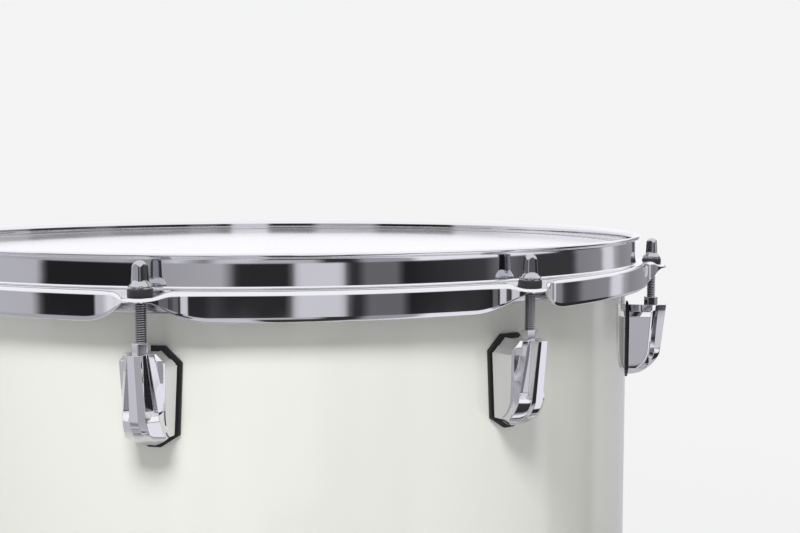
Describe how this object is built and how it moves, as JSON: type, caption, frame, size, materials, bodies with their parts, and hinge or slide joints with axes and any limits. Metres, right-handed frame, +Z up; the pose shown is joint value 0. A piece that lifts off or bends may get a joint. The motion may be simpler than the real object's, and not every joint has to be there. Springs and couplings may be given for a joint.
{
  "type": "floor tom drum",
  "caption": "Floor-standing acoustic tom with a pale lacquered shell, pressed chrome hoops, square-headed tension rods, faceted chrome lugs on black gaskets and height-adjustable legs.",
  "frame": {"origin": "on the floor, under the drum's axis, at the middle of the bounding box's bottom", "axes": "+Z up along the shell's axis; lugs lie along +X, +Y, -X, -Y and between them; the picture is taken from the -Y side, a little towards +X"},
  "size_m": [0.5121, 0.5162, 0.6444],
  "materials": {
    "lacquered_shell": "gloss lacquer",
    "chrome": "polished chrome plate",
    "leg_chrome": "polished chrome plate",
    "rod_steel": "chrome-plated steel thread",
    "screw_steel": "zinc-plated",
    "flesh_aluminium": "satin",
    "head_film": "smooth glossy film",
    "black_nylon": "matt black",
    "black_rubber": "matt black"
  },
  "bodies": {
    "drum": {"shell": "lacquered_shell", "vent_grommet": "chrome", "batter_film": "head_film", "batter_flesh_hoop": "flesh_aluminium", "resonant_film": "head_film", "resonant_flesh_hoop": "flesh_aluminium", "batter_lugs": "chrome", "resonant_lugs": "chrome", "batter_lug_gaskets": "black_rubber", "resonant_lug_gaskets": "black_rubber", "batter_swivel_nuts": "chrome", "resonant_swivel_nuts": "chrome", "batter_lug_screws": "screw_steel", "resonant_lug_screws": "screw_steel", "bracket_gaskets": "black_rubber", "bracket_screws": "screw_steel", "leg_bracket_1": "chrome", "leg_bracket_2": "chrome", "leg_bracket_3": "chrome"},
    "batter_hoop": {"batter_hoop": "chrome", "batter_washers": "black_nylon"},
    "batter_rod_1": {"batter_rod_1": "rod_steel"},
    "batter_rod_2": {"batter_rod_2": "rod_steel"},
    "batter_rod_3": {"batter_rod_3": "rod_steel"},
    "batter_rod_4": {"batter_rod_4": "rod_steel"},
    "batter_rod_5": {"batter_rod_5": "rod_steel"},
    "batter_rod_6": {"batter_rod_6": "rod_steel"},
    "batter_rod_7": {"batter_rod_7": "rod_steel"},
    "batter_rod_8": {"batter_rod_8": "rod_steel"},
    "resonant_hoop": {"resonant_hoop": "chrome", "resonant_washers": "black_nylon"},
    "resonant_rod_1": {"resonant_rod_1": "rod_steel"},
    "resonant_rod_2": {"resonant_rod_2": "rod_steel"},
    "resonant_rod_3": {"resonant_rod_3": "rod_steel"},
    "resonant_rod_4": {"resonant_rod_4": "rod_steel"},
    "resonant_rod_5": {"resonant_rod_5": "rod_steel"},
    "resonant_rod_6": {"resonant_rod_6": "rod_steel"},
    "resonant_rod_7": {"resonant_rod_7": "rod_steel"},
    "resonant_rod_8": {"resonant_rod_8": "rod_steel"},
    "leg_1": {"leg_1": "leg_chrome", "foot_1": "black_rubber"},
    "clamp_shoe_1": {"clamp_shoe_1": "black_nylon"},
    "wing_screw_1": {"wing_screw_1": "chrome"},
    "leg_2": {"leg_2": "leg_chrome", "foot_2": "black_rubber"},
    "clamp_shoe_2": {"clamp_shoe_2": "black_nylon"},
    "wing_screw_2": {"wing_screw_2": "chrome"},
    "leg_3": {"leg_3": "leg_chrome", "foot_3": "black_rubber"},
    "clamp_shoe_3": {"clamp_shoe_3": "black_nylon"},
    "wing_screw_3": {"wing_screw_3": "chrome"}
  },
  "joints": [
    {"name": "batter_hoop_lift", "type": "slide", "parent": "drum", "child": "batter_hoop", "axis": [0, 0, 1], "range_m": [0, 0.00636]},
    {"name": "batter_rod_1_turn", "type": "hinge", "parent": "batter_hoop", "child": "batter_rod_1", "pos_m": [0.2444, 0, 0.6364], "axis": [0, 0, 1], "range_deg": [0, 2161]},
    {"name": "batter_rod_2_turn", "type": "hinge", "parent": "batter_hoop", "child": "batter_rod_2", "pos_m": [0.17282, 0.17282, 0.6364], "axis": [0, 0, 1], "range_deg": [0, 2161]},
    {"name": "batter_rod_3_turn", "type": "hinge", "parent": "batter_hoop", "child": "batter_rod_3", "pos_m": [0, 0.2444, 0.6364], "axis": [0, 0, 1], "range_deg": [0, 2161]},
    {"name": "batter_rod_4_turn", "type": "hinge", "parent": "batter_hoop", "child": "batter_rod_4", "pos_m": [-0.17282, 0.17282, 0.6364], "axis": [0, 0, 1], "range_deg": [0, 2161]},
    {"name": "batter_rod_5_turn", "type": "hinge", "parent": "batter_hoop", "child": "batter_rod_5", "pos_m": [-0.2444, 0, 0.6364], "axis": [0, 0, 1], "range_deg": [0, 2161]},
    {"name": "batter_rod_6_turn", "type": "hinge", "parent": "batter_hoop", "child": "batter_rod_6", "pos_m": [-0.17282, -0.17282, 0.6364], "axis": [0, 0, 1], "range_deg": [0, 2161]},
    {"name": "batter_rod_7_turn", "type": "hinge", "parent": "batter_hoop", "child": "batter_rod_7", "pos_m": [0, -0.2444, 0.6364], "axis": [0, 0, 1], "range_deg": [0, 2161]},
    {"name": "batter_rod_8_turn", "type": "hinge", "parent": "batter_hoop", "child": "batter_rod_8", "pos_m": [0.17282, -0.17282, 0.6364], "axis": [0, 0, 1], "range_deg": [0, 2161]},
    {"name": "resonant_hoop_lift", "type": "slide", "parent": "drum", "child": "resonant_hoop", "axis": [0, 0, -1], "range_m": [0, 0.00636]},
    {"name": "resonant_rod_1_turn", "type": "hinge", "parent": "resonant_hoop", "child": "resonant_rod_1", "pos_m": [0.2444, 0, 0.23], "axis": [0, 0, -1], "range_deg": [0, 2161]},
    {"name": "resonant_rod_2_turn", "type": "hinge", "parent": "resonant_hoop", "child": "resonant_rod_2", "pos_m": [0.17282, -0.17282, 0.23], "axis": [0, 0, -1], "range_deg": [0, 2161]},
    {"name": "resonant_rod_3_turn", "type": "hinge", "parent": "resonant_hoop", "child": "resonant_rod_3", "pos_m": [0, -0.2444, 0.23], "axis": [0, 0, -1], "range_deg": [0, 2161]},
    {"name": "resonant_rod_4_turn", "type": "hinge", "parent": "resonant_hoop", "child": "resonant_rod_4", "pos_m": [-0.17282, -0.17282, 0.23], "axis": [0, 0, -1], "range_deg": [0, 2161]},
    {"name": "resonant_rod_5_turn", "type": "hinge", "parent": "resonant_hoop", "child": "resonant_rod_5", "pos_m": [-0.2444, 0, 0.23], "axis": [0, 0, -1], "range_deg": [0, 2161]},
    {"name": "resonant_rod_6_turn", "type": "hinge", "parent": "resonant_hoop", "child": "resonant_rod_6", "pos_m": [-0.17282, 0.17282, 0.23], "axis": [0, 0, -1], "range_deg": [0, 2161]},
    {"name": "resonant_rod_7_turn", "type": "hinge", "parent": "resonant_hoop", "child": "resonant_rod_7", "pos_m": [0, 0.2444, 0.23], "axis": [0, 0, -1], "range_deg": [0, 2161]},
    {"name": "resonant_rod_8_turn", "type": "hinge", "parent": "resonant_hoop", "child": "resonant_rod_8", "pos_m": [0.17282, 0.17282, 0.23], "axis": [0, 0, -1], "range_deg": [0, 2161]},
    {"name": "leg_1_height", "type": "slide", "parent": "drum", "child": "leg_1", "axis": [0, 0, 1], "range_m": [-0.045, 0.1]},
    {"name": "clamp_shoe_1_travel", "type": "slide", "parent": "drum", "child": "clamp_shoe_1", "axis": [-0.9239, -0.3827, 0], "range_m": [0, 0.00187]},
    {"name": "wing_screw_1_turn", "type": "hinge", "parent": "clamp_shoe_1", "child": "wing_screw_1", "pos_m": [-0.09514, 0.22968, 0.4072], "axis": [-0.9239, -0.3827, 0], "range_deg": [0, 550]},
    {"name": "leg_2_height", "type": "slide", "parent": "drum", "child": "leg_2", "axis": [0, 0, 1], "range_m": [-0.045, 0.1]},
    {"name": "clamp_shoe_2_travel", "type": "slide", "parent": "drum", "child": "clamp_shoe_2", "axis": [0.9239, -0.3827, 0], "range_m": [0, 0.00187]},
    {"name": "wing_screw_2_turn", "type": "hinge", "parent": "clamp_shoe_2", "child": "wing_screw_2", "pos_m": [-0.09514, -0.22968, 0.4072], "axis": [0.9239, -0.3827, 0], "range_deg": [0, 550]},
    {"name": "leg_3_height", "type": "slide", "parent": "drum", "child": "leg_3", "axis": [0, 0, 1], "range_m": [-0.045, 0.1]},
    {"name": "clamp_shoe_3_travel", "type": "slide", "parent": "drum", "child": "clamp_shoe_3", "axis": [0.3827, 0.9239, 0], "range_m": [0, 0.00187]},
    {"name": "wing_screw_3_turn", "type": "hinge", "parent": "clamp_shoe_3", "child": "wing_screw_3", "pos_m": [0.22968, -0.09514, 0.4072], "axis": [0.3827, 0.9239, 0], "range_deg": [0, 550]}
  ],
  "couplings": [
    {"joint": "batter_rod_1_turn", "follows": "batter_hoop_lift", "rad_per_m": 5927.5},
    {"joint": "batter_rod_2_turn", "follows": "batter_hoop_lift", "rad_per_m": 5927.5},
    {"joint": "batter_rod_3_turn", "follows": "batter_hoop_lift", "rad_per_m": 5927.5},
    {"joint": "batter_rod_4_turn", "follows": "batter_hoop_lift", "rad_per_m": 5927.5},
    {"joint": "batter_rod_5_turn", "follows": "batter_hoop_lift", "rad_per_m": 5927.5},
    {"joint": "batter_rod_6_turn", "follows": "batter_hoop_lift", "rad_per_m": 5927.5},
    {"joint": "batter_rod_7_turn", "follows": "batter_hoop_lift", "rad_per_m": 5927.5},
    {"joint": "batter_rod_8_turn", "follows": "batter_hoop_lift", "rad_per_m": 5927.5},
    {"joint": "resonant_rod_1_turn", "follows": "resonant_hoop_lift", "rad_per_m": 5927.5},
    {"joint": "resonant_rod_2_turn", "follows": "resonant_hoop_lift", "rad_per_m": 5927.5},
    {"joint": "resonant_rod_3_turn", "follows": "resonant_hoop_lift", "rad_per_m": 5927.5},
    {"joint": "resonant_rod_4_turn", "follows": "resonant_hoop_lift", "rad_per_m": 5927.5},
    {"joint": "resonant_rod_5_turn", "follows": "resonant_hoop_lift", "rad_per_m": 5927.5},
    {"joint": "resonant_rod_6_turn", "follows": "resonant_hoop_lift", "rad_per_m": 5927.5},
    {"joint": "resonant_rod_7_turn", "follows": "resonant_hoop_lift", "rad_per_m": 5927.5},
    {"joint": "resonant_rod_8_turn", "follows": "resonant_hoop_lift", "rad_per_m": 5927.5},
    {"joint": "wing_screw_1_turn", "follows": "clamp_shoe_1_travel", "rad_per_m": 5026.5},
    {"joint": "wing_screw_2_turn", "follows": "clamp_shoe_2_travel", "rad_per_m": 5026.5},
    {"joint": "wing_screw_3_turn", "follows": "clamp_shoe_3_travel", "rad_per_m": 5026.5}
  ]
}
